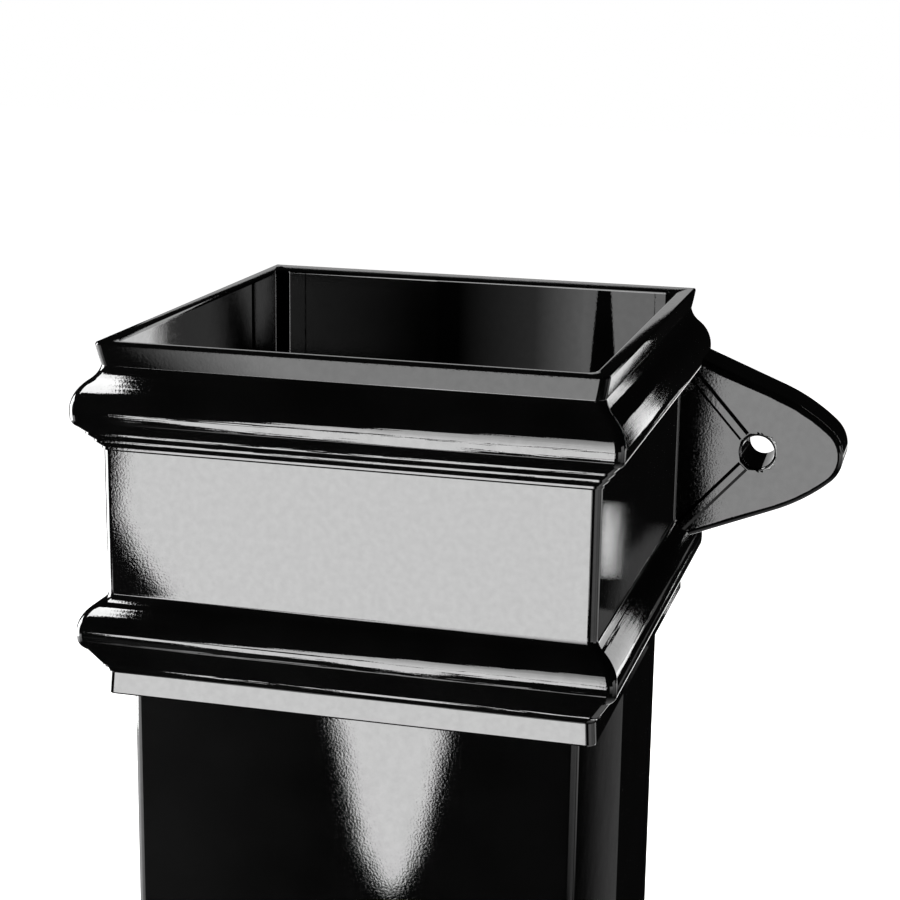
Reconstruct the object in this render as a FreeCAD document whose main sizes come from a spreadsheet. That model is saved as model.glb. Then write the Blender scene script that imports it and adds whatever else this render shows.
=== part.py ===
# Cast iron downpipe: one square pipe with a moulded socket and two wall ears, cast as one piece.
# Frame: origin on the pipe's axis at the spigot end, +Z up the pipe, +Y to the wall, millimetres.
import math
import os

import FreeCAD
import Part
import Sketcher

V = FreeCAD.Vector
doc = FreeCAD.newDocument("downpipe")

# Every size has a named cell. Names that end in _deg are degrees, the others are millimetres.
sheet = doc.addObject("Spreadsheet::Sheet", "Sizes")
sizes = [
    ("pipe_side", 100.0),
    ("pipe_wall", 4.5),
    ("pipe_corner", 2.2),
    ("draft_deg", 0.7),
    ("laying_length", 610.0),
    ("socket_depth", 65.0),
    ("socket_height", 78.0),
    ("spigot_clearance", 1.5),
    ("socket_wall", 2.5),
    ("inside_corner", 3.0),
    ("wall_gap", 8.5),
    ("core_inset", 1.0),
    ("moulding_bite", 2.0),
    ("lip_out", 1.05),
    ("lip_edge", 0.5),
    ("fascia_height", 5.0),
    ("fascia_lean", 0.95),
    ("neck_radius", 3.0),
    ("ogee_deg", 53.0),
    ("bead_out", 5.4),
    ("bead_radius", 5.0),
    ("bead_flank_radius", 17.5),
    ("bead_flank", 3.9),
    ("bead_turn_radius", 2.2),
    ("cove_deg", 52.0),
    ("cove_radius", 2.6),
    ("lower_height", 22.8),
    ("lower_neck_radius", 2.0),
    ("lower_ogee_deg", 60.0),
    ("lower_bead_out", 5.3),
    ("lower_bead_radius", 4.4),
    ("lower_flank_radius", 17.0),
    ("lower_flank", 4.4),
    ("lower_turn_radius", 2.6),
    ("lower_cove_deg", 58.0),
    ("lower_cove_radius", 2.3),
    ("foot_out", 0.4),
    ("arris", 2.0),
    ("ear_lift", 2.0),
    ("ear_reach", 94.3),
    ("ear_margin", 14.0),
    ("ear_thick", 14.5),
    ("ear_tip_radius", 8.5),
    ("ear_flank_radius", 45.0),
    ("ear_shoulder_deg", 48.5),
    ("ear_bite", 2.0),
    ("ear_root_flare", 2.0),
    ("ear_edge", 1.2),
    ("hole_from_tip", 20.5),
    ("hole_dia", 8.0),
    ("rib_inset", 0.8),
    ("rib_width", 3.0),
    ("rib_height", 0.7),
    ("rib_side_deg", 40.0),
    ("rib_gap", 1.0),
]
# Sizes that follow from those: the ear stands a little above the middle of the socket, its root runs
# from bead to bead, and its ribs point from the corners of the root to the middle of the hole.
derived = [
    ("half", "pipe_side / 2"),
    ("parting_half", "half + half * tan(draft_deg * 1 deg)"),
    ("bore_half", "half - pipe_wall"),
    ("socket_half", "half + spigot_clearance"),
    ("face_half", "socket_half + socket_wall"),
    ("core_half", "face_half - core_inset"),
    ("wall_y", "half + wall_gap"),
    ("top_z", "laying_length + socket_depth"),
    ("under_z", "top_z - socket_height"),
    ("frieze_end_z", "under_z + lower_height"),
    ("ear_z", "under_z + socket_height / 2 + ear_lift"),
    ("ear_root_half", "socket_height / 2 - ear_margin"),
    ("ear_front_y", "wall_y - ear_thick"),
    ("ear_root_x", "face_half - ear_bite"),
    ("ear_tip_x", "ear_reach - ear_tip_radius"),
    ("ear_shoulder_rise", "ear_tip_radius * sin(ear_shoulder_deg * 1 deg)"),
    ("flare_half", "ear_root_half - ear_edge"),
    ("hole_reach", "ear_reach - hole_from_tip"),
    ("rib_root_rise", "ear_root_half - rib_inset"),
    ("rib_deg", "atan2(rib_root_rise; hole_reach - ear_root_x) / 1 deg"),
    ("rib_root_spread", "rib_width / 2 / cos(rib_deg * 1 deg)"),
    ("rib_start", "hole_dia / 2 + rib_gap"),
    ("rib_end_x", "hole_reach - rib_start * cos(rib_deg * 1 deg)"),
    ("rib_end_rise", "rib_start * sin(rib_deg * 1 deg)"),
    ("rib_end_dx", "rib_width / 2 * sin(rib_deg * 1 deg)"),
    ("rib_end_dz", "rib_width / 2 * cos(rib_deg * 1 deg)"),
]
cells = sizes + [(alias, "=" + formula) for alias, formula in derived]
for line, (alias, content) in enumerate(cells, start=1):
    sheet.set("A%d" % line, alias)
    sheet.set("B%d" % line, str(content))
    sheet.setAlias("B%d" % line, alias)
doc.recompute()
size = {alias: float(sheet.get(alias)) for alias, content in cells}
half = size["half"]
face_half = size["face_half"]
wall_y = size["wall_y"]
top_z = size["top_z"]
under_z = size["under_z"]
ear_z = size["ear_z"]

body = doc.addObject("PartDesign::Body", "downpipe")
body.Label = "downpipe"


def plane(role):
    for item in body.Origin.OriginFeatures:
        if item.Role == role:
            return item
    raise RuntimeError("no origin plane " + role)


def sketch(name, role, height):
    # a sketch on an origin plane, raised by an expression
    made = body.newObject("Sketcher::SketchObject", name)
    made.AttachmentSupport = (plane(role), [""])
    made.MapMode = "FlatFace"
    made.setExpression("AttachmentOffset.Base.z", height)
    return made


def bind(target, constraint, text):
    index = target.addConstraint(constraint)
    target.setExpression("Constraints[%d]" % index, text)


def pin(target, way, piece, spot, text):
    # holds a point's distance from the sketch's origin to an expression
    point = target.getPoint(piece, spot)
    value = point.x if way == "DistanceX" else point.y
    bind(target, Sketcher.Constraint(way, -1, 1, piece, spot, value), text)


def closed_lines(target, points):
    first = target.GeometryCount
    for a, b in zip(points, points[1:] + points[:1]):
        target.addGeometry(Part.LineSegment(V(*a, 0), V(*b, 0)), False)
    count = len(points)
    for i in range(count):
        after = first + (i + 1) % count
        target.addConstraint(Sketcher.Constraint("Coincident", first + i, 2, after, 1))
    return first


def box_plan(target, left, right, front, back):
    # a rectangle whose four sides are each held by a named size
    closed_lines(target, [(left[0], front[0]), (right[0], front[0]),
                          (right[0], back[0]), (left[0], back[0])])
    for edge, kind in ((0, "Horizontal"), (1, "Vertical"), (2, "Horizontal"), (3, "Vertical")):
        target.addConstraint(Sketcher.Constraint(kind, edge))
    for edge, way, text in ((1, "DistanceX", right[1]), (2, "DistanceY", back[1]),
                            (3, "DistanceX", left[1]), (0, "DistanceY", front[1])):
        pin(target, way, edge, 1, text)


def feature(kind, name, profile, length=None):
    made = body.newObject("PartDesign::" + kind, name)
    made.Profile = profile
    if length:
        made.setExpression("Length", length)
    return made


def edges_where(shape, test):
    found = []
    for index, edge in enumerate(shape.Edges, start=1):
        a = edge.firstVertex().Point
        b = edge.lastVertex().Point
        if a.distanceToPoint(b) > 1.0 and test(edge, a, b):
            found.append("Edge%d" % index)
    return found


def fillet(name, base, edges, radius):
    made = body.newObject("PartDesign::Fillet", name)
    made.Base = (base, edges)
    made.setExpression("Radius", radius)
    doc.recompute()
    return made


def is_vertical(a, b):
    return abs(a.x - b.x) < 1e-6 and abs(a.y - b.y) < 1e-6


# The pipe: each side stands out to the mould's parting line at mid depth and drafts back from it.
parting = size["parting_half"]
pipe_plan = sketch("PipePlan", "XY_Plane", "0")
closed_lines(pipe_plan, [(-half, -half), (half, -half), (parting, 0),
                         (half, half), (-half, half), (-parting, 0)])
for edge, across, along in ((0, "-Sizes.half", "-Sizes.half"), (1, "Sizes.half", "-Sizes.half"),
                            (2, "Sizes.parting_half", None), (3, "Sizes.half", "Sizes.half"),
                            (4, "-Sizes.half", "Sizes.half"), (5, "-Sizes.parting_half", None)):
    pin(pipe_plan, "DistanceX", edge, 1, across)
    if along:
        pin(pipe_plan, "DistanceY", edge, 1, along)
    else:
        pipe_plan.addConstraint(Sketcher.Constraint("PointOnObject", edge, 1, -1))
pipe = feature("Pad", "Pipe", pipe_plan, "Sizes.laying_length")
doc.recompute()
corners = edges_where(pipe.Shape, lambda edge, a, b: is_vertical(a, b) and abs(a.y) > half / 2)
fillet("PipeCorners", pipe, corners, "Sizes.pipe_corner")

# The socket's core: a plain box just inside the moulded face, flush with the wall plane at the back.
inner = size["core_half"]
core_plan = sketch("SocketCorePlan", "XY_Plane", "Sizes.under_z")
box_plan(core_plan, (-inner, "-Sizes.core_half"), (inner, "Sizes.core_half"),
         (-inner, "-Sizes.core_half"), (wall_y, "Sizes.wall_y"))
feature("Pad", "SocketCore", core_plan, "Sizes.socket_height")
doc.recompute()

# The moulding's path: down the left side, across the front, back along the right side.
path = sketch("MouldingPath", "XY_Plane", "Sizes.top_z")
turns = [(-face_half, wall_y), (-face_half, -face_half), (face_half, -face_half), (face_half, wall_y)]
for a, b in zip(turns, turns[1:]):
    path.addGeometry(Part.LineSegment(V(*a, 0), V(*b, 0)), False)
path.addConstraint(Sketcher.Constraint("Coincident", 0, 2, 1, 1))
path.addConstraint(Sketcher.Constraint("Coincident", 1, 2, 2, 1))
for edge, kind in ((0, "Vertical"), (1, "Horizontal"), (2, "Vertical")):
    path.addConstraint(Sketcher.Constraint(kind, edge))
for edge, spot, way, text in ((0, 2, "DistanceX", "-Sizes.face_half"),
                              (1, 2, "DistanceX", "Sizes.face_half"),
                              (0, 2, "DistanceY", "-Sizes.face_half"),
                              (0, 1, "DistanceY", "Sizes.wall_y"),
                              (2, 2, "DistanceY", "Sizes.wall_y")):
    pin(path, way, edge, spot, text)

# The moulding's section stands at the wall end of the left side.
# Its points are given as (out from the frieze, down from the lip).
section = sketch("MouldingSection", "XZ_Plane", "-Sizes.wall_y")
# Which end of each piece is its start and which its finish: Sketcher turns every arc anticlockwise.
ends = []


def at(out, down):
    return V(-face_half - out, top_z - down, 0)


def line(a, b):
    section.addGeometry(Part.LineSegment(at(*a), at(*b)), False)
    ends.append((1, 2))
    return b


def bend(start, heading, new_heading, radius):
    # an arc from a start; headings are degrees out of straight down
    turn = 1 if new_heading > heading else -1
    first = math.radians(heading)

    def spot(part):
        angle = first + math.radians(new_heading - heading) * part
        return (start[0] + turn * radius * (math.cos(first) - math.cos(angle)),
                start[1] + turn * radius * (math.sin(angle) - math.sin(first)))

    index = section.addGeometry(Part.Arc(at(*start), at(*spot(0.5)), at(*spot(1.0))), False)
    kept = section.getPoint(index, 1).distanceToPoint(at(*start)) < 1e-6
    ends.append((1, 2) if kept else (2, 1))
    return spot(1.0)


def slope(start, heading, out):
    # a straight run on a heading that ends at a distance out
    run = (out - start[0]) / math.sin(math.radians(heading))
    return line(start, (out, start[1] + run * math.cos(math.radians(heading))))


def rise(radius, heading):
    # how far out an arc goes between straight down and a heading
    return radius * (1 - math.cos(math.radians(heading)))


def moulding(start, heading, names, bead, end_out):
    # ogee, bead, slope and cove: seven pieces, each tangent to the next
    neck, ogee, round_up, flank, length, turn, fall, cove = [size[name] for name in names]
    turn_off = math.degrees(math.asin(length / flank))
    here = bend(start, heading, ogee, neck)
    here = slope(here, ogee, bead - rise(round_up, ogee))
    here = bend(here, ogee, 0.0, round_up)
    here = bend(here, 0.0, -turn_off, flank)
    here = bend(here, -turn_off, -fall, turn)
    here = slope(here, -fall, end_out + rise(cove, fall))
    return bend(here, -fall, 0.0, cove)


lip = size["lip_out"]
back = -size["moulding_bite"]
foot = size["foot_out"]
fascia_end = (lip - size["fascia_lean"], size["fascia_height"])
fascia_heading = -math.degrees(math.atan2(size["fascia_lean"], size["fascia_height"]))
upper_names = ("neck_radius", "ogee_deg", "bead_radius", "bead_flank_radius",
               "bead_flank", "bead_turn_radius", "cove_deg", "cove_radius")
lower_names = ("lower_neck_radius", "lower_ogee_deg", "lower_bead_radius", "lower_flank_radius",
               "lower_flank", "lower_turn_radius", "lower_cove_deg", "lower_cove_radius")
line((back, 0.0), (lip, 0.0))
line((lip, 0.0), fascia_end)
here = moulding(fascia_end, fascia_heading, upper_names, size["bead_out"], 0.0)
here = line(here, (0.0, top_z - size["frieze_end_z"]))
here = moulding(here, 0.0, lower_names, size["lower_bead_out"], foot)
here = line(here, (foot, size["socket_height"]))
here = line(here, (back, size["socket_height"]))
line(here, (back, 0.0))

# The pieces by number: 0 lip, 1 fascia, 2 to 8 upper moulding, 9 frieze, 10 to 16 lower moulding,
# 17 to 19 foot and back.
for piece in range(20):
    after = (piece + 1) % 20
    kind = "Tangent" if 1 <= piece <= 16 else "Coincident"
    section.addConstraint(Sketcher.Constraint(kind, piece, ends[piece][1], after, ends[after][0]))
for piece, kind in ((0, "Horizontal"), (9, "Vertical"), (17, "Vertical"),
                    (18, "Horizontal"), (19, "Vertical")):
    section.addConstraint(Sketcher.Constraint(kind, piece))
for piece, spot, way, text in (
        (0, 2, "DistanceX", "-(Sizes.face_half + Sizes.lip_out)"),
        (0, 2, "DistanceY", "Sizes.top_z"),
        (1, 2, "DistanceX", "-(Sizes.face_half + Sizes.lip_out - Sizes.fascia_lean)"),
        (1, 2, "DistanceY", "Sizes.top_z - Sizes.fascia_height"),
        (9, 1, "DistanceX", "-Sizes.face_half"),
        (9, 2, "DistanceY", "Sizes.frieze_end_z"),
        (17, 2, "DistanceX", "-(Sizes.face_half + Sizes.foot_out)"),
        (18, 2, "DistanceX", "-(Sizes.face_half - Sizes.moulding_bite)"),
        (18, 2, "DistanceY", "Sizes.under_z")):
    pin(section, way, piece, spot, text)
for first, names, out in ((2, upper_names, "Sizes.bead_out"), (10, lower_names, "Sizes.lower_bead_out")):
    neck, ogee, round_up, flank, length, turn, fall, cove = names
    for piece, name in ((first, neck), (first + 2, round_up), (first + 3, flank),
                        (first + 4, turn), (first + 6, cove)):
        bind(section, Sketcher.Constraint("Radius", piece, size[name]), "Sizes." + name)
    for piece, name, sign in ((first + 1, ogee, "+"), (first + 5, fall, "-")):
        heading = size[name] if sign == "+" else -size[name]
        bind(section, Sketcher.Constraint("Angle", piece, math.radians(-90 - heading)),
             "-90 deg %s Sizes.%s * 1 deg" % ("-" if sign == "+" else "+", name))
    widest = ends[first + 2][1]
    section.addConstraint(Sketcher.Constraint("Horizontal", first + 2, 3, first + 2, widest))
    pin(section, "DistanceX", first + 2, widest, "-(Sizes.face_half + %s)" % out)
    upper_end, lower_end = ends[first + 3]
    bind(section, Sketcher.Constraint("DistanceY", first + 3, lower_end, first + 3, upper_end, size[length]),
         "Sizes." + length)
doc.recompute()
if not section.FullyConstrained:
    raise RuntimeError("the moulding's section is not fully constrained")

run = feature("AdditivePipe", "Moulding", section)
run.Spine = (path, ["Edge1", "Edge2", "Edge3"])
run.Transition = "Right corner"
doc.recompute()


def on_mitre(edge, a, b):
    mid = edge.valueAt((edge.FirstParameter + edge.LastParameter) / 2)
    return all(abs(abs(q.x) - abs(q.y)) < 1e-4 and q.y < -size["core_half"] and q.z > under_z - 0.01
               for q in (a, b, mid))


# The cast arris: one ball rolled down each front corner over every curve of the moulding.
fillet("MouldingArris", run, edges_where(run.Shape, on_mitre), "Sizes.arris")

# One ear: a plate on the wall plane; straight edges run through long shoulders into a round tip.
tip = size["ear_tip_radius"]
tip_x = size["ear_tip_x"]
root_x = size["ear_root_x"]
root_half = size["ear_root_half"]
shoulder = math.radians(size["ear_shoulder_deg"])
flank = size["ear_flank_radius"]
join = (tip_x + tip * math.cos(shoulder), tip * math.sin(shoulder))
hub = (tip_x - (flank - tip) * math.cos(shoulder), -(flank - tip) * math.sin(shoulder))
to_root = (root_x - hub[0], root_half - hub[1])
touch_angle = math.atan2(to_root[1], to_root[0]) - math.acos(flank / math.hypot(*to_root))
touch = (hub[0] + flank * math.cos(touch_angle), hub[1] + flank * math.sin(touch_angle))
between = (touch_angle + shoulder) / 2
belly = (hub[0] + flank * math.cos(between), hub[1] + flank * math.sin(between))


def ear_spot(point, side):
    return V(point[0], ear_z + side * point[1], 0)


ear_plan = sketch("EarOutline", "XZ_Plane", "-Sizes.wall_y")
root = (root_x, root_half)
ear_plan.addGeometry(Part.LineSegment(ear_spot(root, 1), ear_spot(root, -1)), False)
ear_plan.addGeometry(Part.LineSegment(ear_spot(root, -1), ear_spot(touch, -1)), False)
ear_plan.addGeometry(Part.Arc(ear_spot(touch, -1), ear_spot(belly, -1), ear_spot(join, -1)), False)
ear_plan.addGeometry(Part.Arc(ear_spot(join, -1), V(size["ear_reach"], ear_z, 0), ear_spot(join, 1)), False)
ear_plan.addGeometry(Part.Arc(ear_spot(join, 1), ear_spot(belly, 1), ear_spot(touch, 1)), False)
ear_plan.addGeometry(Part.LineSegment(ear_spot(touch, 1), ear_spot(root, 1)), False)
ear_plan.addConstraint(Sketcher.Constraint("Coincident", 0, 2, 1, 1))
ear_plan.addConstraint(Sketcher.Constraint("Coincident", 5, 2, 0, 1))
for piece in range(1, 5):
    ear_plan.addConstraint(Sketcher.Constraint("Tangent", piece, 2, piece + 1, 1))
ear_plan.addConstraint(Sketcher.Constraint("Vertical", 0))
for piece, spot, way, text in ((0, 1, "DistanceX", "Sizes.ear_root_x"),
                               (0, 1, "DistanceY", "Sizes.ear_z + Sizes.ear_root_half"),
                               (0, 2, "DistanceY", "Sizes.ear_z - Sizes.ear_root_half"),
                               (3, 3, "DistanceX", "Sizes.ear_tip_x"),
                               (3, 3, "DistanceY", "Sizes.ear_z"),
                               (3, 1, "DistanceY", "Sizes.ear_z - Sizes.ear_shoulder_rise"),
                               (3, 2, "DistanceY", "Sizes.ear_z + Sizes.ear_shoulder_rise")):
    pin(ear_plan, way, piece, spot, text)
for piece, name in ((2, "ear_flank_radius"), (3, "ear_tip_radius"), (4, "ear_flank_radius")):
    bind(ear_plan, Sketcher.Constraint("Radius", piece, size[name]), "Sizes." + name)
ear = feature("Pad", "Ear", ear_plan, "Sizes.ear_thick")
doc.recompute()

# A small hollow flare at the ear's root, its ends buried in the two beads.
front_y = size["ear_front_y"]
flare = size["ear_root_flare"]
flare_plan = sketch("EarFlarePlan", "XY_Plane", "Sizes.ear_z")
corner = V(root_x, front_y, 0)
side_foot = V(face_half, front_y - flare, 0)
face_foot = V(face_half + flare, front_y, 0)
hollow = V(face_half + flare * (1 - math.sqrt(0.5)), front_y - flare * (1 - math.sqrt(0.5)), 0)
flare_plan.addGeometry(Part.LineSegment(V(root_x, front_y - flare, 0), side_foot), False)
flare_plan.addGeometry(Part.Arc(face_foot, hollow, side_foot), False)
flare_plan.addGeometry(Part.LineSegment(face_foot, corner), False)
flare_plan.addGeometry(Part.LineSegment(corner, V(root_x, front_y - flare, 0)), False)
arc_start = 1 if flare_plan.getPoint(1, 1).distanceToPoint(face_foot) < 1e-6 else 2
for first, first_end, second, second_end in ((0, 2, 1, 3 - arc_start), (1, arc_start, 2, 1),
                                             (2, 2, 3, 1), (3, 2, 0, 1)):
    flare_plan.addConstraint(Sketcher.Constraint("Coincident", first, first_end, second, second_end))
for piece, kind in ((0, "Horizontal"), (2, "Horizontal"), (3, "Vertical")):
    flare_plan.addConstraint(Sketcher.Constraint(kind, piece))
for piece, spot, way, text in ((2, 2, "DistanceX", "Sizes.ear_root_x"),
                               (2, 2, "DistanceY", "Sizes.ear_front_y"),
                               (1, 3, "DistanceX", "Sizes.face_half + Sizes.ear_root_flare"),
                               (1, 3, "DistanceY", "Sizes.ear_front_y - Sizes.ear_root_flare"),
                               (2, 1, "DistanceX", "Sizes.face_half + Sizes.ear_root_flare"),
                               (0, 1, "DistanceY", "Sizes.ear_front_y - Sizes.ear_root_flare")):
    pin(flare_plan, way, piece, spot, text)
ear_root = feature("Pad", "EarFlare", flare_plan, "2 * Sizes.flare_half")
ear_root.Midplane = True
doc.recompute()

# The twin ear is the mirror image. Both ears' front edges are softly rounded, as cast.
twin = body.newObject("PartDesign::Mirrored", "TwinEar")
twin.Originals = [ear, ear_root]
twin.MirrorPlane = (plane("YZ_Plane"), [""])
body.Tip = twin
doc.recompute()


def ear_rim(edge, a, b):
    mid = edge.valueAt((edge.FirstParameter + edge.LastParameter) / 2)
    if any(abs(q.y - front_y) > 1e-4 or abs(q.x) < face_half for q in (a, b, mid)):
        return False
    over = Part.Vertex(V(abs(mid.x), wall_y, mid.z))
    return abs(mid.x) > face_half + flare and ear_plan.Shape.distToShape(over)[0] < 1e-3


fillet("EarEdge", twin, edges_where(twin.Shape, ear_rim), "Sizes.ear_edge")

# Two low ribs on each ear run from the root's corners towards the fixing hole.
rib_plan = sketch("EarRibPlan", "XZ_Plane", "-Sizes.ear_front_y")
for side, sign in ((1, "+"), (-1, "-")):
    spots = ((root_x, size["rib_root_rise"] + size["rib_root_spread"]),
             (root_x, size["rib_root_rise"] - size["rib_root_spread"]),
             (size["rib_end_x"] - size["rib_end_dx"], size["rib_end_rise"] - size["rib_end_dz"]),
             (size["rib_end_x"] + size["rib_end_dx"], size["rib_end_rise"] + size["rib_end_dz"]))
    first = closed_lines(rib_plan, [(x, ear_z + side * z) for x, z in spots])
    texts = (("Sizes.ear_root_x", "(Sizes.rib_root_rise + Sizes.rib_root_spread)"),
             ("Sizes.ear_root_x", "(Sizes.rib_root_rise - Sizes.rib_root_spread)"),
             ("Sizes.rib_end_x - Sizes.rib_end_dx", "(Sizes.rib_end_rise - Sizes.rib_end_dz)"),
             ("Sizes.rib_end_x + Sizes.rib_end_dx", "(Sizes.rib_end_rise + Sizes.rib_end_dz)"))
    for offset, (across, along) in enumerate(texts):
        pin(rib_plan, "DistanceX", first + offset, 1, across)
        pin(rib_plan, "DistanceY", first + offset, 1, "Sizes.ear_z %s %s" % (sign, along))
ribs = feature("Pad", "EarRibs", rib_plan, "Sizes.rib_height")
ribs.setExpression("TaperAngle", "-Sizes.rib_side_deg * 1 deg")
doc.recompute()

# The fixing hole goes straight through the ear.
hole_plan = sketch("EarHole", "XZ_Plane", "-Sizes.wall_y")
hole_plan.addGeometry(Part.Circle(V(size["hole_reach"], ear_z, 0), V(0, 0, 1), size["hole_dia"] / 2), False)
pin(hole_plan, "DistanceX", 0, 3, "Sizes.hole_reach")
pin(hole_plan, "DistanceY", 0, 3, "Sizes.ear_z")
bind(hole_plan, Sketcher.Constraint("Diameter", 0, size["hole_dia"]), "Sizes.hole_dia")
hole = feature("Pocket", "FixingHole", hole_plan)
hole.Type = "ThroughAll"
hole.Midplane = True
doc.recompute()
ears = body.newObject("PartDesign::Mirrored", "TwinRibs")
ears.Originals = [ribs, hole]
ears.MirrorPlane = (plane("YZ_Plane"), [""])
body.Tip = ears
doc.recompute()

# The socket's inside takes the next length's spigot with a clearance all round.
opening = size["socket_half"]
mouth_plan = sketch("SocketInside", "XY_Plane", "Sizes.top_z")
box_plan(mouth_plan, (-opening, "-Sizes.socket_half"), (opening, "Sizes.socket_half"),
         (-opening, "-Sizes.socket_half"), (opening, "Sizes.socket_half"))
mouth = feature("Pocket", "SocketMouth", mouth_plan, "Sizes.socket_depth")
doc.recompute()

# The waterway runs the pipe's whole length.
bore_half = size["bore_half"]
bore_plan = sketch("Waterway", "XY_Plane", "0")
box_plan(bore_plan, (-bore_half, "-Sizes.bore_half"), (bore_half, "Sizes.bore_half"),
         (-bore_half, "-Sizes.bore_half"), (bore_half, "Sizes.bore_half"))
bore = feature("Pocket", "Bore", bore_plan)
bore.Type = "ThroughAll"
bore.Midplane = True
doc.recompute()


def inside_corner(edge, a, b):
    if not is_vertical(a, b):
        return False
    return any(abs(abs(a.x) - h) < 1e-4 and abs(abs(a.y) - h) < 1e-4 for h in (opening, bore_half))


inside = fillet("InsideCorners", bore, edges_where(bore.Shape, inside_corner), "Sizes.inside_corner")
rim = edges_where(inside.Shape, lambda edge, a, b: min(a.z, b.z) > top_z - 1e-4)
lip_round = fillet("LipEdge", inside, rim, "Sizes.lip_edge")
body.Tip = lip_round
doc.recompute()

# Each cut must take away what its drawing says, within the small overlap of the other features.
mouth_volume = 4 * opening ** 2 * size["socket_depth"]
bore_volume = 4 * bore_half ** 2 * size["laying_length"]
for cut, before, wanted in ((mouth, ears, mouth_volume), (bore, mouth, bore_volume)):
    taken = before.Shape.Volume - cut.Shape.Volume
    if abs(taken - wanted) > 0.01 * wanted:
        raise RuntimeError(cut.Name + " took away the wrong volume")

# Nothing is written unless every feature built and the casting is one valid solid.
for item in doc.Objects:
    if any(word in ("Invalid", "Error") for word in item.State):
        raise RuntimeError(item.Name + " did not build")
    if item.isDerivedFrom("PartDesign::Feature") and (item.Shape.isNull() or not item.Shape.isValid()):
        raise RuntimeError(item.Name + " has a bad shape")
final = body.Shape
if final.isNull() or not final.isValid() or len(final.Solids) != 1:
    raise RuntimeError("the casting is not one valid solid")
os.makedirs("parts", exist_ok=True)
final.exportStep("parts/downpipe.step")
box = final.BoundBox
print("solids", len(final.Solids), "faces", len(final.Faces), "volume", round(final.Volume, 1))
print("box", round(box.XMin, 3), round(box.XMax, 3), round(box.YMin, 3), round(box.YMax, 3),
      round(box.ZMin, 3), round(box.ZMax, 3))
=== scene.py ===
"""Cast iron downpipe: a square gloss black rainwater pipe with a moulded socket and two wall ears."""
import math

import bmesh
import bpy
from mathutils import Matrix, Vector


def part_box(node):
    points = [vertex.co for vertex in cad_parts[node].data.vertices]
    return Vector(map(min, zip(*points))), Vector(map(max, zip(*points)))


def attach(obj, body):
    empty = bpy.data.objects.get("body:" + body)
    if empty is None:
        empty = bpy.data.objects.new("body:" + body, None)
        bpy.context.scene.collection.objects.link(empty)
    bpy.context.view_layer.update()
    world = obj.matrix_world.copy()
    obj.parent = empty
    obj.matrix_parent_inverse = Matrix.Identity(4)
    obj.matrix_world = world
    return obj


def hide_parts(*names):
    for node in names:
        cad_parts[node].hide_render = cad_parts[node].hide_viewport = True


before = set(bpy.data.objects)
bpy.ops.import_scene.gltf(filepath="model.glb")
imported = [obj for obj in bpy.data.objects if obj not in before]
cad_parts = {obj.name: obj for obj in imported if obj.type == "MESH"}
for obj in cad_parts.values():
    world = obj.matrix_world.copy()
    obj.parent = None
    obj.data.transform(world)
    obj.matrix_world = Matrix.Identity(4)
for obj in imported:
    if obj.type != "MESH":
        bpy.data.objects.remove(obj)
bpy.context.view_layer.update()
scene = bpy.context.scene


# The pipe and its socket: a square tube under a box with a beaded moulding at its top and its foot.
# Both are one pour of grey iron in a sand mould; the mould's parting line stands out along the pipe's sides.
# The mouldings run round the front and the sides and stop flat where the socket lies on the wall.
MM = 0.001
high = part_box("downpipe")[1]
top = high.z / MM
wall = high.y / MM
pipe_half = 50.0
parting_half = 50.6
pipe_wall = 4.5
pipe_corner = 2.2
pipe_chamfer = 0.6
socket_half = 51.5
inside_corner = 3.0
face_half = 54.0
arris = 2.0
shoulder = 610.0
socket_height = 78.0
lip_out = 1.05
lip_edge = 0.5
lip_round = 0.15

# The moulding's headings are degrees out of straight down; its sizes are millimetres out or down.
lip_heading = -9.5
fascia_heading = -13.0
fascia_radius = 74.0
fascia_turn = 0.4
neck_heading = 14.0
neck_radius = 5.0
ogee_heading = 53.0
lower_ogee_heading = 60.0
lower_neck_radius = 2.0
belly_heading = -6.0
under_heading = -58.0
frieze_rows = (23.4, 24.4, 39.0, 54.2, 55.2)
foot_out = 0.9
foot_hollow = 0.75
foot_end = [(0.43, socket_height - 0.4), (0.15, socket_height)]


def bend(points, heading, new_heading, radius):
    """Adds an arc to the section, from one heading to the next."""
    out, down = points[-1]
    turn = 1 if new_heading > heading else -1
    first = math.radians(heading)
    steps = max(2, math.ceil(abs(new_heading - heading) / 5.0))
    for step in range(1, steps + 1):
        angle = first + math.radians(new_heading - heading) * step / steps
        points.append((out + turn * radius * (math.cos(first) - math.cos(angle)),
                       down + turn * radius * (math.sin(angle) - math.sin(first))))


def slope(points, heading, out):
    """Adds a straight run on a heading that ends at a distance out."""
    run = (out - points[-1][0]) / math.sin(math.radians(heading))
    points.append((out, points[-1][1] + run * math.cos(math.radians(heading))))


def rise(radius, heading):
    """How far out an arc goes between straight down and a heading."""
    return radius * (1.0 - math.cos(math.radians(heading)))


def bead(points, heading, out, radius, belly, turn):
    """Adds an ogee's slope and a bead that bellies down and turns in under itself."""
    slope(points, heading, out - rise(radius, heading))
    bend(points, heading, 0.0, radius)
    bend(points, 0.0, belly_heading, belly)
    bend(points, belly_heading, under_heading, turn)


def quirks(points, out, down, count, riser):
    """Adds fine steps down to a point, each with a short upright riser, as a scraper leaves them."""
    start = points[-1]
    for step in range(1, count + 1):
        next_out = start[0] + (out - start[0]) * step / count
        next_down = start[1] + (down - start[1]) * step / count
        points.append((next_out, next_down - riser))
        points.append((next_out, next_down))


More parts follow.
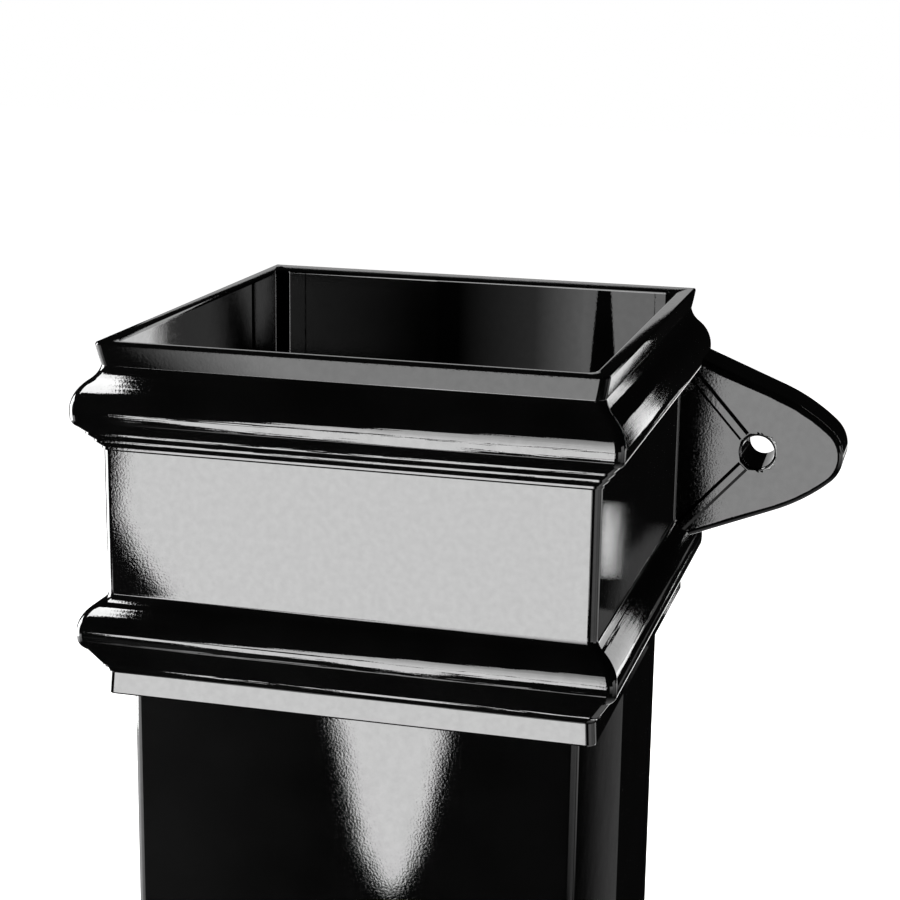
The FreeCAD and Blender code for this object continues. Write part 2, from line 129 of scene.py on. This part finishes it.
section = [(lip_out, lip_edge)]
bend(section, lip_heading, fascia_heading, fascia_radius)
bend(section, fascia_heading, neck_heading, fascia_turn)
bend(section, neck_heading, ogee_heading, neck_radius)
bead(section, ogee_heading, out=5.4, radius=7.5, belly=18.0, turn=2.2)
quirks(section, out=0.35, down=23.0, count=3, riser=0.45)
section += [(0.0, down) for down in frieze_rows]
bend(section, 0.0, lower_ogee_heading, lower_neck_radius)
bead(section, lower_ogee_heading, out=5.3, radius=6.5, belly=16.0, turn=3.2)
quirks(section, out=1.2, down=71.6, count=1, riser=0.4)
slope(section, under_heading, foot_out)
bend(section, under_heading, 0.0, foot_hollow / rise(1.0, under_heading))
section += foot_end

# Each ring is half width, front, back, front corner, back corner, how far the corner stands back, height.
# A holding ring lies close to each edge so that the shading of the long faces stays flat.
rings = [(face_half + out, face_half + out, wall, arris, 0.0, 0.0, top - down) for out, down in section]
under = top - socket_height
stand = parting_half - pipe_half
hold = 1.0
for height in (under, under - hold, 400.0, 200.0, pipe_chamfer):
    rings.append((parting_half, pipe_half, pipe_half, pipe_corner, pipe_corner, stand, height))
end_half = pipe_half - pipe_chamfer
rings.append((parting_half - pipe_chamfer, end_half, end_half, pipe_corner, pipe_corner, stand, 0.0))
bore = pipe_half - pipe_wall
for height in (0.0, hold, 300.0, shoulder - hold, shoulder):
    rings.append((bore, bore, bore, inside_corner, inside_corner, 0.0, height))
for height in (shoulder, shoulder + hold, top - 12.0, top - lip_edge - 0.4, top - lip_edge):
    rings.append((socket_half, socket_half, socket_half, inside_corner, inside_corner, 0.0, height))
for spread, height in ((lip_round, top - lip_round), (lip_edge, top)):
    edge = socket_half + spread
    rings.append((edge, edge, edge, inside_corner, inside_corner, 0.0, height))
for spread, height in ((lip_edge, top), (lip_round, top - lip_round)):
    edge = face_half + lip_out - spread
    rings.append((edge, edge, wall, arris, 0.0, 0.0, height))

# Each column is the corner's side and face, the direction of its arc, and 1 on the parting line.
columns = []
arc_steps = 10
for side, face, first in ((1, -1, -90), (1, 1, 0), (-1, 1, 90), (-1, -1, 180)):
    for step in range(arc_steps + 1):
        angle = math.radians(first + 90.0 * step / arc_steps)
        columns.append((side, face, math.cos(angle), math.sin(angle), 0.0))
    if face * side < 0:
        columns.append((side, 0.0, 0.0, 0.0, 1.0))


def point_set(name, keys, lines):
    """A set of bare points that carries one named number for each key."""
    mesh = bpy.data.meshes.new(name)
    mesh.vertices.add(len(lines))
    for place, key in enumerate(keys):
        numbers = [line[place] for line in lines]
        mesh.attributes.new(key, "FLOAT", "POINT").data.foreach_set("value", numbers)
    piece = bpy.data.objects.new(name, mesh)
    scene.collection.objects.link(piece)
    return piece


ring_keys = ("half", "front", "back", "front_corner", "back_corner", "stand", "height")
column_keys = ("side", "face", "arc_x", "arc_y", "parting")
ring_points = point_set("rings", ring_keys, [[number * MM for number in ring] for ring in rings])
column_points = point_set("columns", column_keys, columns)


def add_node(tree, kind, values=None, **settings):
    """Adds a node, sets its properties, and joins or sets its inputs."""
    node = tree.nodes.new(kind)
    for key, value in settings.items():
        setattr(node, key, value)
    for key, value in (values or {}).items():
        if isinstance(value, bpy.types.NodeSocket):
            tree.links.new(value, node.inputs[key])
        else:
            node.inputs[key].default_value = value
    return node


sweep_tree = bpy.data.node_groups.new("ring sweep", "GeometryNodeTree")
for name, kind in (("Rings", "Object"), ("Columns", "Object"), ("Ring count", "Int"),
                   ("Column count", "Int"), ("Finish", "Material")):
    sweep_tree.interface.new_socket(name, in_out="INPUT", socket_type="NodeSocket" + kind)
sweep_tree.interface.new_socket("Geometry", in_out="OUTPUT", socket_type="NodeSocketGeometry")
given = add_node(sweep_tree, "NodeGroupInput").outputs

# A grid point's number gives its ring and its column; the last row and line fall on the first.
sums = {"rings": given["Ring count"], "columns": given["Column count"],
        "index": add_node(sweep_tree, "GeometryNodeInputIndex").outputs[0]}
for key, operation, a, b in (("down", "ADD", "rings", 1), ("across", "ADD", "columns", 1),
                             ("row", "DIVIDE", "index", "across"), ("ring", "MODULO", "row", "rings"),
                             ("line", "MODULO", "index", "across"), ("column", "MODULO", "line", "columns")):
    sums[key] = add_node(sweep_tree, "FunctionNodeIntegerMath", {0: sums.get(a, a), 1: sums.get(b, b)},
                         operation=operation).outputs[0]
grid = add_node(sweep_tree, "GeometryNodeMeshGrid", {"Vertices X": sums["down"], "Vertices Y": sums["across"]})

# The point then lies on the flat of its side or face, or on the corner's arc, or on the parting line.
spans = {}
for points, place, keys in (("Rings", "ring", ring_keys), ("Columns", "column", column_keys)):
    mesh = add_node(sweep_tree, "GeometryNodeObjectInfo", {"Object": given[points]}).outputs["Geometry"]
    for key in keys:
        named = add_node(sweep_tree, "GeometryNodeInputNamedAttribute", {"Name": key}, data_type="FLOAT")
        spans[key] = add_node(sweep_tree, "GeometryNodeSampleIndex", {
            "Geometry": mesh, "Value": named.outputs[0], "Index": sums[place]}).outputs[0]
for key, operation, a, b in (("at_back", "GREATER_THAN", "face", 0.5),
                             ("at_front", "LESS_THAN", "face", -0.5),
                             ("back_radius", "MULTIPLY", "at_back", "back_corner"),
                             ("front_radius", "MULTIPLY", "at_front", "front_corner"),
                             ("corner", "ADD", "back_radius", "front_radius"),
                             ("off_parting", "SUBTRACT", 1.0, "parting"),
                             ("corner_start", "ADD", "stand", "corner"),
                             ("inset", "MULTIPLY", "off_parting", "corner_start"),
                             ("flat_half", "SUBTRACT", "half", "inset"),
                             ("flat_x", "MULTIPLY", "side", "flat_half"),
                             ("round_x", "MULTIPLY", "corner", "arc_x"),
                             ("x", "ADD", "flat_x", "round_x"),
                             ("flat_back", "SUBTRACT", "back", "corner"),
                             ("back_y", "MULTIPLY", "at_back", "flat_back"),
                             ("flat_front", "SUBTRACT", "front", "corner"),
                             ("front_y", "MULTIPLY", "at_front", "flat_front"),
                             ("flat_y", "SUBTRACT", "back_y", "front_y"),
                             ("round_y", "MULTIPLY", "corner", "arc_y"),
                             ("y", "ADD", "flat_y", "round_y")):
    spans[key] = add_node(sweep_tree, "ShaderNodeMath", {0: spans.get(a, a), 1: spans.get(b, b)},
                          operation=operation).outputs[0]
place = add_node(sweep_tree, "ShaderNodeCombineXYZ", {
    "X": spans["x"], "Y": spans["y"], "Z": spans["height"]}).outputs[0]
swept = add_node(sweep_tree, "GeometryNodeSetPosition", {
    "Geometry": grid.outputs["Mesh"], "Position": place}).outputs[0]
welded = add_node(sweep_tree, "GeometryNodeMergeByDistance", {
    "Geometry": swept, "Distance": 0.01 * MM}).outputs[0]
real = add_node(sweep_tree, "GeometryNodeRealizeInstances", {"Geometry": welded}).outputs[0]
coated = add_node(sweep_tree, "GeometryNodeSetMaterial", {
    "Geometry": real, "Material": given["Finish"]}).outputs[0]
add_node(sweep_tree, "NodeGroupOutput", {"Geometry": coated})

iron = bpy.data.materials.new("gloss_black_iron")
holder = bpy.data.objects.new("sweep", bpy.data.meshes.new("sweep"))
scene.collection.objects.link(holder)
sweep = holder.modifiers.new("ring sweep", "NODES")
sweep.node_group = sweep_tree
sockets = {item.name: item.identifier for item in sweep_tree.interface.items_tree if item.in_out == "INPUT"}
for name, value in (("Rings", ring_points), ("Columns", column_points), ("Ring count", len(rings)),
                    ("Column count", len(columns)), ("Finish", iron)):
    sweep[sockets[name]] = value


def plain_mesh(piece):
    """The piece as its modifiers leave it, with the modifiers taken off."""
    bpy.context.view_layer.update()
    depsgraph = bpy.context.evaluated_depsgraph_get()
    mesh = bpy.data.meshes.new_from_object(piece.evaluated_get(depsgraph), depsgraph=depsgraph)
    piece.modifiers.clear()
    return mesh


def weld(mesh):
    """Joins doubled points and turns every face outwards."""
    shape = bmesh.new()
    shape.from_mesh(mesh)
    bmesh.ops.remove_doubles(shape, verts=shape.verts, dist=0.004 * MM)
    bmesh.ops.recalc_face_normals(shape, faces=shape.faces)
    shape.to_mesh(mesh)
    shape.free()


casting = bpy.data.objects.new("downpipe_casting", plain_mesh(holder))
scene.collection.objects.link(casting)
weld(casting.data)
for helper in (holder, ring_points, column_points):
    bpy.data.objects.remove(helper)


# The two ears: flat lugs at the wall side of the socket, each with a hole for a pipe nail.
# They are cast in one with the socket, with a soft front edge, a small hollow at the root
# and two low ribs from the root's corners towards the hole.
ear_z = under + socket_height / 2.0 + 2.0
ear_reach = high.x / MM
ear_tip = 8.5
ear_flank = 45.0
ear_bend = math.radians(48.5)
ear_root_half = 25.0
ear_root = 52.0
ear_thick = 14.5
ear_front = wall - ear_thick
ear_edge = 1.2
ear_hollow = 0.4
hole_x = 73.8
hole_radius = 4.0
hole_rim = 0.6
hole_draft = 0.5
rib_angle = math.radians(48.0)
rib_half = 1.5
rib_top_half = 0.75
rib_height = 0.7
rib_bite = 1.0
rib_start = hole_radius + 1.0
rib_root = ear_root + 0.3
tip_x = ear_reach - ear_tip
hub_x = tip_x - (ear_flank - ear_tip) * math.cos(ear_bend)
hub_z = -(ear_flank - ear_tip) * math.sin(ear_bend)
root_x, root_z = ear_root - hub_x, ear_root_half - hub_z
touch = math.atan2(root_z, root_x) - math.acos(ear_flank / math.hypot(root_x, root_z))
touch_x = hub_x + ear_flank * math.cos(touch)
touch_z = hub_z + ear_flank * math.sin(touch)


def ear_half(x):
    """Half the ear's height: a straight edge, a long shoulder and a round tip."""
    if x > tip_x + ear_tip * math.cos(ear_bend):
        return math.sqrt(max(0.0, ear_tip ** 2 - (x - tip_x) ** 2))
    if x > touch_x:
        return hub_z + math.sqrt(ear_flank ** 2 - (x - hub_x) ** 2)
    return touch_z + (touch_x - x) / math.tan(touch)


def from_edge(x, z):
    """The distance of a point in the ear from its outline."""
    if math.atan2(z, x - tip_x) < ear_bend:
        return ear_tip - math.hypot(x - tip_x, z)
    if math.atan2(z - hub_z, x - hub_x) < touch:
        return ear_flank - math.hypot(x - hub_x, z - hub_z)
    return (ear_half(x) - z) * math.sin(touch)


def ear_depth(x, z):
    """Where the ear's front lies: flat, rounded to the rim and hollowed to the root."""
    rim = min(ear_edge, max(0.0, ear_edge - from_edge(x, abs(z))))
    root = min(ear_hollow, max(0.0, face_half + ear_hollow - x))
    return (ear_front + ear_edge - math.sqrt(ear_edge ** 2 - rim ** 2)
            - ear_hollow + math.sqrt(ear_hollow ** 2 - root ** 2))


def skin(name, lofts):
    """A mesh of skins over rows of loops; each row comes with the places of the loops that are closed."""
    shape = bmesh.new()
    for loops, ends in lofts:
        strips = [[shape.verts.new(Vector(point) * MM) for point in loop] for loop in loops]
        for near, far in zip(strips, strips[1:]):
            for k in range(len(near)):
                after = (k + 1) % len(near)
                shape.faces.new((near[k], far[k], far[after], near[after]))
        for end in ends:
            shape.faces.new(strips[end])
    bmesh.ops.remove_doubles(shape, verts=shape.verts, dist=0.002 * MM)
    bmesh.ops.recalc_face_normals(shape, faces=shape.faces)
    mesh = bpy.data.meshes.new(name)
    shape.to_mesh(mesh)
    shape.free()
    return mesh


spots = [ear_root, face_half]
spots += [face_half + ear_hollow * (1.0 - math.cos(math.radians(angle))) for angle in range(10, 91, 10)]
reach = face_half + ear_hollow
while reach < tip_x - 1.0:
    reach += 1.0
    spots.append(reach)
spots += [tip_x + ear_tip * math.sin(math.radians(angle)) for angle in range(6, 91, 3)]
rows = 56
spread = [math.sin(math.pi / 2.0 * (2.0 * row / rows - 1.0)) for row in range(rows + 1)]

# The drill runs from in front of the ear, round the hole's rim and out at the back.
drill = [(hole_radius + hole_rim, -3.0)]
for angle in (0.0, 22.5, 45.0, 67.5, 90.0):
    drill.append((hole_radius + hole_rim * (1.0 - math.sin(math.radians(angle))),
                  hole_rim * (1.0 - math.cos(math.radians(angle)))))
drill.append((hole_radius - hole_draft, ear_thick + 1.0))
turns = [math.radians(turn) for turn in range(0, 360, 5)]

rib_line = [(rib_half, rib_bite), (rib_half, 0.0), (rib_top_half, -rib_height),
            (-rib_top_half, -rib_height), (-rib_half, 0.0), (-rib_half, rib_bite)]
along, across = math.cos(rib_angle), math.sin(rib_angle)
ears = []
for side in (1, -1):
    plate = []
    for x in spots:
        half = ear_half(x)
        front_line = [(side * x, ear_depth(x, half * share), ear_z + half * share) for share in spread]
        plate.append(front_line + [(side * x, wall, ear_z + half), (side * x, wall, ear_z - half)])
    hole = [[(side * hole_x + radius * math.cos(turn), ear_front + deep, ear_z + radius * math.sin(turn))
             for turn in turns] for radius, deep in drill]
    ribs = []
    for way in (1, -1):
        ends = ([], [])
        for aside, deep in rib_line:
            length = (hole_x - rib_root + aside * across) / along
            for end, run in zip(ends, (rib_start, length)):
                end.append((side * (hole_x - run * along + aside * across), ear_front + deep,
                            ear_z + way * (run * across + aside * along)))
        ribs.append((ends, (0, -1)))
    for name, lofts, operation in (("ear", [(plate, (0,))], "UNION"), ("ribs", ribs, "UNION"),
                                   ("hole", [(hole, (0, -1))], "DIFFERENCE")):
        piece = bpy.data.objects.new(name, skin(name, lofts))
        scene.collection.objects.link(piece)
        join = casting.modifiers.new(name, "BOOLEAN")
        join.operation = operation
        join.solver = "EXACT"
        join.object = piece
        ears.append(piece)
casting.data = plain_mesh(casting)
for helper in ears:
    bpy.data.objects.remove(helper)
weld(casting.data)

# The rounded edges are shaded smooth; the parting line keeps its crease.
crease = math.radians(28.0)
slack = 0.1
casting.data.materials.clear()
casting.data.materials.append(iron)
for polygon in casting.data.polygons:
    polygon.use_smooth = True
casting.data.set_sharp_from_angle(angle=crease)
for edge in casting.data.edges:
    ends = [casting.data.vertices[k].co / MM for k in edge.vertices]
    if all(abs(end.y) < slack and abs(end.x) > parting_half - slack and end.z < under + slack for end in ends):
        edge.use_edge_sharp = True
even = casting.modifiers.new("even", "WEIGHTED_NORMAL")
even.keep_sharp = True
casting.data = plain_mesh(casting)
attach(casting, "root")
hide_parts("downpipe")


# The finish: black gloss paint, sprayed in one coat over the sand-cast skin of the whole casting.
# It mirrors the room like wet ink. The sand's grain breaks up the edges of reflections into speckle, the
# scraped mouldings draw them out in lines, and the paint lies thicker and thinner, which mottles them.
# Sizes are millimetres. Moulding sand is about half as coarse as the grain here, and would not show.
grain_width = 0.5
line_width = 2.0 / 3.0
line_stretch = 0.03
peel_width = 20.0 / 13.0
wave_length = 50.0 / 3.0
grain_height = 0.0028
line_height = 0.022
wave_height = 0.012
lined_half = 8.0
lined_fade = 1.5
upper_lined = top - 14.0
lower_lined = top - 64.0
lined_inner = face_half - 1.0
lined_outer = 60.5


def colour(code):
    """A linear colour from its sRGB hex code."""
    parts = [int(code[k:k + 2], 16) / 255.0 for k in (1, 3, 5)]
    return [p / 12.92 if p <= 0.04045 else ((p + 0.055) / 1.055) ** 2.4 for p in parts] + [1.0]


def fresh(material):
    """The empty node tree of a material or of the world."""
    material.use_nodes = True
    material.node_tree.nodes.clear()
    return material.node_tree


paint = fresh(iron)
where = add_node(paint, "ShaderNodeTexCoord").outputs["Object"]
drawn = add_node(paint, "ShaderNodeVectorMath", {0: where, 1: (line_stretch, line_stretch, 1.0)},
                 operation="MULTIPLY").outputs[0]
noises = {}
for key, vector, width, detail in (("grain", where, grain_width, 3.0), ("peel", where, peel_width, 2.0),
                                   ("waves", where, wave_length, 2.0), ("lines", drawn, line_width, 2.0)):
    noises[key] = add_node(paint, "ShaderNodeTexNoise", {
        "Vector": vector, "Scale": 1.0 / (width * MM), "Detail": detail}).outputs[0]

# The drawn lines lie on the outer faces of the two mouldings alone.
apart = add_node(paint, "ShaderNodeSeparateXYZ", {0: where}).outputs
masks = {axis: apart[axis] for axis in ("X", "Y", "Z")}
for key, operation, a, b in (("aside", "ABSOLUTE", "X", 0.0),
                             ("at_sides", "GREATER_THAN", "aside", lined_inner * MM),
                             ("at_front", "LESS_THAN", "Y", -lined_inner * MM),
                             ("outer", "MAXIMUM", "at_sides", "at_front"),
                             ("off_ears", "LESS_THAN", "aside", lined_outer * MM),
                             ("outside", "MULTIPLY", "outer", "off_ears"),
                             ("from_upper", "SUBTRACT", "Z", upper_lined * MM),
                             ("upper_off", "ABSOLUTE", "from_upper", 0.0),
                             ("from_lower", "SUBTRACT", "Z", lower_lined * MM),
                             ("lower_off", "ABSOLUTE", "from_lower", 0.0),
                             ("off", "MINIMUM", "upper_off", "lower_off")):
    masks[key] = add_node(paint, "ShaderNodeMath", {0: masks.get(a, a), 1: masks.get(b, b)},
                          operation=operation).outputs[0]
moulded = add_node(paint, "ShaderNodeMapRange", {
    "Value": masks["off"], "From Min": (lined_half + lined_fade) * MM, "From Max": lined_half * MM}).outputs[0]
scraped = add_node(paint, "ShaderNodeMath", {0: masks["outside"], 1: moulded}, operation="MULTIPLY").outputs[0]

surface = add_node(paint, "ShaderNodeBump", {
    "Height": noises["waves"], "Strength": 1.0, "Distance": wave_height * MM}).outputs[0]
surface = add_node(paint, "ShaderNodeBump", {
    "Height": noises["lines"], "Strength": scraped, "Distance": line_height * MM, "Normal": surface}).outputs[0]
surface = add_node(paint, "ShaderNodeBump", {
    "Height": noises["grain"], "Strength": 1.0, "Distance": grain_height * MM, "Normal": surface}).outputs[0]
depth = add_node(paint, "ShaderNodeValToRGB", {"Fac": noises["waves"]})
for stop, position, code in zip(depth.color_ramp.elements, (0.35, 0.65), ("#030303", "#050505")):
    stop.position = position
    stop.color = colour(code)
sheen = add_node(paint, "ShaderNodeMapRange", {
    "Value": noises["grain"], "From Min": 0.3, "From Max": 0.7, "To Min": 0.01, "To Max": 0.03}).outputs[0]
film = add_node(paint, "ShaderNodeMapRange", {
    "Value": noises["peel"], "From Min": 0.3, "From Max": 0.7, "To Min": 0.0, "To Max": 0.1}).outputs[0]
gloss = add_node(paint, "ShaderNodeBsdfPrincipled", {
    "Base Color": depth.outputs[0], "Roughness": sheen, "IOR": 1.5, "Normal": surface,
    "Coat Weight": film, "Coat Roughness": 0.02, "Coat Normal": surface})
add_node(paint, "ShaderNodeOutputMaterial", {"Surface": gloss.outputs[0]})
# The gloss mirrors the room alone and not the casting's other faces, as in the picture.
casting.visible_glossy = False


# The studio: a white room that only the camera sees, and soft glowing cards that only the gloss sees.
# The cards stand in the planes 1.5 m before and behind the pipe, at its sides and inside the socket; those
# inside the socket paint the back wall's reflection of the socket's own walls.
# A card without light is a black sheet of painted shade: it darkens the gloss where it stands, as in the
# socket's corners.
scene.view_settings.view_transform = "Standard"
scene.world = bpy.data.worlds.new("studio")
room = fresh(scene.world)
seen = add_node(room, "ShaderNodeLightPath").outputs["Is Camera Ray"]
white = add_node(room, "ShaderNodeBackground", {"Color": colour("#ffffff"), "Strength": 1.0})
dim = add_node(room, "ShaderNodeBackground", {"Color": colour("#ffffff"), "Strength": 0.004})
both = add_node(room, "ShaderNodeMixShader", {0: seen, 1: dim.outputs[0], 2: white.outputs[0]})
add_node(room, "ShaderNodeOutputWorld", {"Surface": both.outputs[0]})


def card(name, outline, strength, dark=None, full=None, axis="X"):
    """A card with an outline in millimetres that may fade along an axis, or away from the pipe's foot."""
    mesh = bpy.data.meshes.new(name)
    mesh.from_pydata([Vector(point) * MM for point in outline], [], [range(len(outline))])
    material = bpy.data.materials.new(name)
    lamp = fresh(material)
    if full is not None:
        spot = add_node(lamp, "ShaderNodeTexCoord").outputs["Object"]
        if axis == "away":
            way = add_node(lamp, "ShaderNodeVectorMath", {0: spot}, operation="LENGTH").outputs["Value"]
        else:
            way = add_node(lamp, "ShaderNodeSeparateXYZ", {0: spot}).outputs[axis]
        strength = add_node(lamp, "ShaderNodeMapRange", {
            "Value": way, "From Min": dark * MM, "From Max": full * MM,
            "To Min": 0.0, "To Max": strength}).outputs[0]
    light = add_node(lamp, "ShaderNodeEmission", {"Color": colour("#ffffff"), "Strength": strength})
    add_node(lamp, "ShaderNodeOutputMaterial", {"Surface": light.outputs[0]})
    mesh.materials.append(material)
    piece = bpy.data.objects.new(name, mesh)
    scene.collection.objects.link(piece)
    piece.visible_camera = False
    piece.visible_shadow = False


def upright(start, end, bottom, over):
    """An upright box outline between two places on the floor."""
    return [(*start, bottom), (*end, bottom), (*end, over), (*start, over)]


def facing(y, outline):
    """An outline of x and z in a plane that faces the pipe's front or back."""
    return [(x, y, z) for x, z in outline]


def box_at(y, left, right, bottom, over):
    """A box outline in a plane that faces the pipe's front or back."""
    return facing(y, [(left, bottom), (right, bottom), (right, over), (left, over)])


front, rear, inside = -1500, 1500, 20
card("front card", facing(front, [
    (-694, 300), (-195, 300), (-195, 48), (-362, 48), (-364, 15), (-369, -27), (-379, -71), (-393, -126),
    (-406, -158), (-418, -176), (-430, -160), (-446, -133), (-460, -81), (-467, -39), (-477, 2), (-480, 48),
    (-610, 48), (-652, 118), (-684, 160), (-702, 200), (-700, 228)]), 13.0)
card("bead card", facing(front, [
    (-182, 325), (-182, 1300), (-600, 430), (-410, 430), (-410, 325)]), 13.0, 1500, 325, "Z")
card("ear card", box_at(front, -143, 60, 150, 345), 5.2)
card("lip card", box_at(front, -800, -150, -520, -250), 4.4, -800, -640)
card("pipe dim card", box_at(front, -760, -490, -230, 10), 0.12, -490, -720)
card("glint card", [
    (-835, 120, 2500), (-860, -500, 2500), (-960, -1100, 2500), (-1100, -1500, 2500), (-1700, -1500, 2500),
    (-1400, 120, 2500)], 20.0)

card("inside left card", box_at(front, -620, -450, 330, 412), 0.28, -450, -600)
# Cards inside the socket: painted reflection on the back wall, in lit bands and one unlit band of painted
# shade, standing in for the socket's own walls.
card("inside dusk card", box_at(inside, -18, 9, 645, 672), 0.45, -12, 9)
card("inside middle card", box_at(inside, 9, 22, 645, 672), 2.1, 5.5, 22)
card("inside bright card", facing(inside, [(22, 645), (24, 645), (25.9, 672), (22, 672)]), 2.2)
card("inside dark card", facing(inside, [(24, 645), (31.3, 645), (29, 672), (25.9, 672)]), 0.0)
card("inside right card", facing(inside, [(31.3, 645), (50, 645), (50, 672), (29, 672)]), 3.0)
# Black sheets in the socket's back corners: painted shade in the corners' reflection.
card("left corner flag", upright((-53.9, 24.3), (-30.6, 90.0), 600, 674), 0.0)
card("right corner flag", upright((41.3, 22.3), (48.4, 66.8), 600, 674), 0.0)

frieze_turns = [math.radians(turn) for turn in range(0, 360, 20)]
card("lip side card", box_at(rear, 184, 232, 240, 312), 1.3)
card("frieze side card", facing(rear, [
    (337 + 5 * math.cos(turn), 182 + 40 * math.sin(turn)) for turn in frieze_turns]), 2.6)
card("side dim card", facing(rear, [(334, 60), (322, 165), (283, 205), (270, 180), (300, 70)]), 0.09)
card("ogee side card", facing(rear, [
    (350, 300), (405, 365), (452, 430), (486, 505), (506, 580), (513, 655), (507, 735), (484, 815),
    (454, 815), (477, 729), (482, 655), (474, 582), (452, 511), (419, 444), (376, 384), (322, 333)]), 2.2)
card("lower ogee side card", facing(rear, [
    (625, 450), (700, 450), (710, 580), (700, 740), (650, 900), (550, 1050), (430, 1160), (376, 1100),
    (487, 1012), (578, 875), (630, 722), (640, 580)]), 2.2)
card("inside front card", box_at(rear, 596, 690, 300, 440), 3.6)
card("inside dim card", box_at(rear, 528, 594, 330, 440), 0.16)
card("inside corner card", facing(rear, [(520, 430), (478, 430), (478, 400), (490, 352)]), 0.22)
card("pipe side card", box_at(rear, 300, 398, -400, 110), 0.12, 382, 345)
card("lip line card", box_at(rear, -740, -135, 350, 950), 0.6)
card("rear card", box_at(rear, -600, 140, -450, 345), 2.0, 140, -60)

card("left card", upright((-1500, -730), (-1500, 330), 20, 1300), 20.0)
card("left low card", upright((-1500, -730), (-1500, 330), -650, 20), 4.0, -650, 20, "Z")
card("right card", upright((1500, -700), (1500, 300), -500, 900), 2.0, -500, 900, "Z")
card("front left card", upright((-1879, -684), (-1096, -1732), -650, 40), 4.0, -650, 40, "Z")
card("back left card", upright((-1096, 1732), (-1879, 684), -650, 60), 4.0, -650, 60, "Z")
card("front right card", upright((1096, -1732), (1879, -684), -450, 400), 2.2, -450, 400, "Z")
card("back right card", upright((1096, 1732), (1879, 684), -450, 400), 2.2, -450, 400, "Z")
card("near floor", [(60, -900, 0.5), (900, -900, 0.5), (900, 900, 0.5), (60, 900, 0.5)], 0.7, 850, 100, "away")


# The floor: plain pale board under the pipe's spigot end, lit so evenly that it runs into the backdrop.
# The gloss doesn't mirror it; the near floor card gives the pipe the little of it that shows.
floor_half = 8.0
floor_mesh = bpy.data.meshes.new("floor")
floor_mesh.from_pydata([(-floor_half, -floor_half, 0), (floor_half, -floor_half, 0),
                        (floor_half, floor_half, 0), (-floor_half, floor_half, 0)], [], [(0, 1, 2, 3)])
pale = bpy.data.materials.new("pale floor")
ground = fresh(pale)
matt = add_node(ground, "ShaderNodeBsdfPrincipled", {
    "Base Color": colour("#f2f2f2"), "Roughness": 0.9,
    "Emission Color": colour("#ffffff"), "Emission Strength": 1.0})
add_node(ground, "ShaderNodeOutputMaterial", {"Surface": matt.outputs[0]})
floor_mesh.materials.append(pale)
floor = bpy.data.objects.new("floor", floor_mesh)
scene.collection.objects.link(floor)
floor.visible_glossy = False


# The camera: it looks down on the socket from the front right, a long lens half a metre away.
# It is close enough that the pipe runs out of the picture.
azimuth, elevation, roll = (math.radians(angle) for angle in (14.89, 13.85, 0.84))
ahead = Vector((-math.sin(azimuth) * math.cos(elevation), math.cos(azimuth) * math.cos(elevation),
                -math.sin(elevation)))
level = Vector((math.cos(azimuth), math.sin(azimuth), 0.0))
upward = level.cross(ahead)
right = math.cos(roll) * level + math.sin(roll) * upward
up = math.cos(roll) * upward - math.sin(roll) * level
camera = bpy.data.objects.new("camera", bpy.data.cameras.new("camera"))
scene.collection.objects.link(camera)
camera.data.sensor_width = 36.0
camera.data.lens = 83.44
camera.data.clip_start = 0.01
camera.matrix_world = (Matrix.Translation((0.12806, -0.45058, 0.75875))
                       @ Matrix((right, up, -ahead)).transposed().to_4x4())
scene.camera = camera
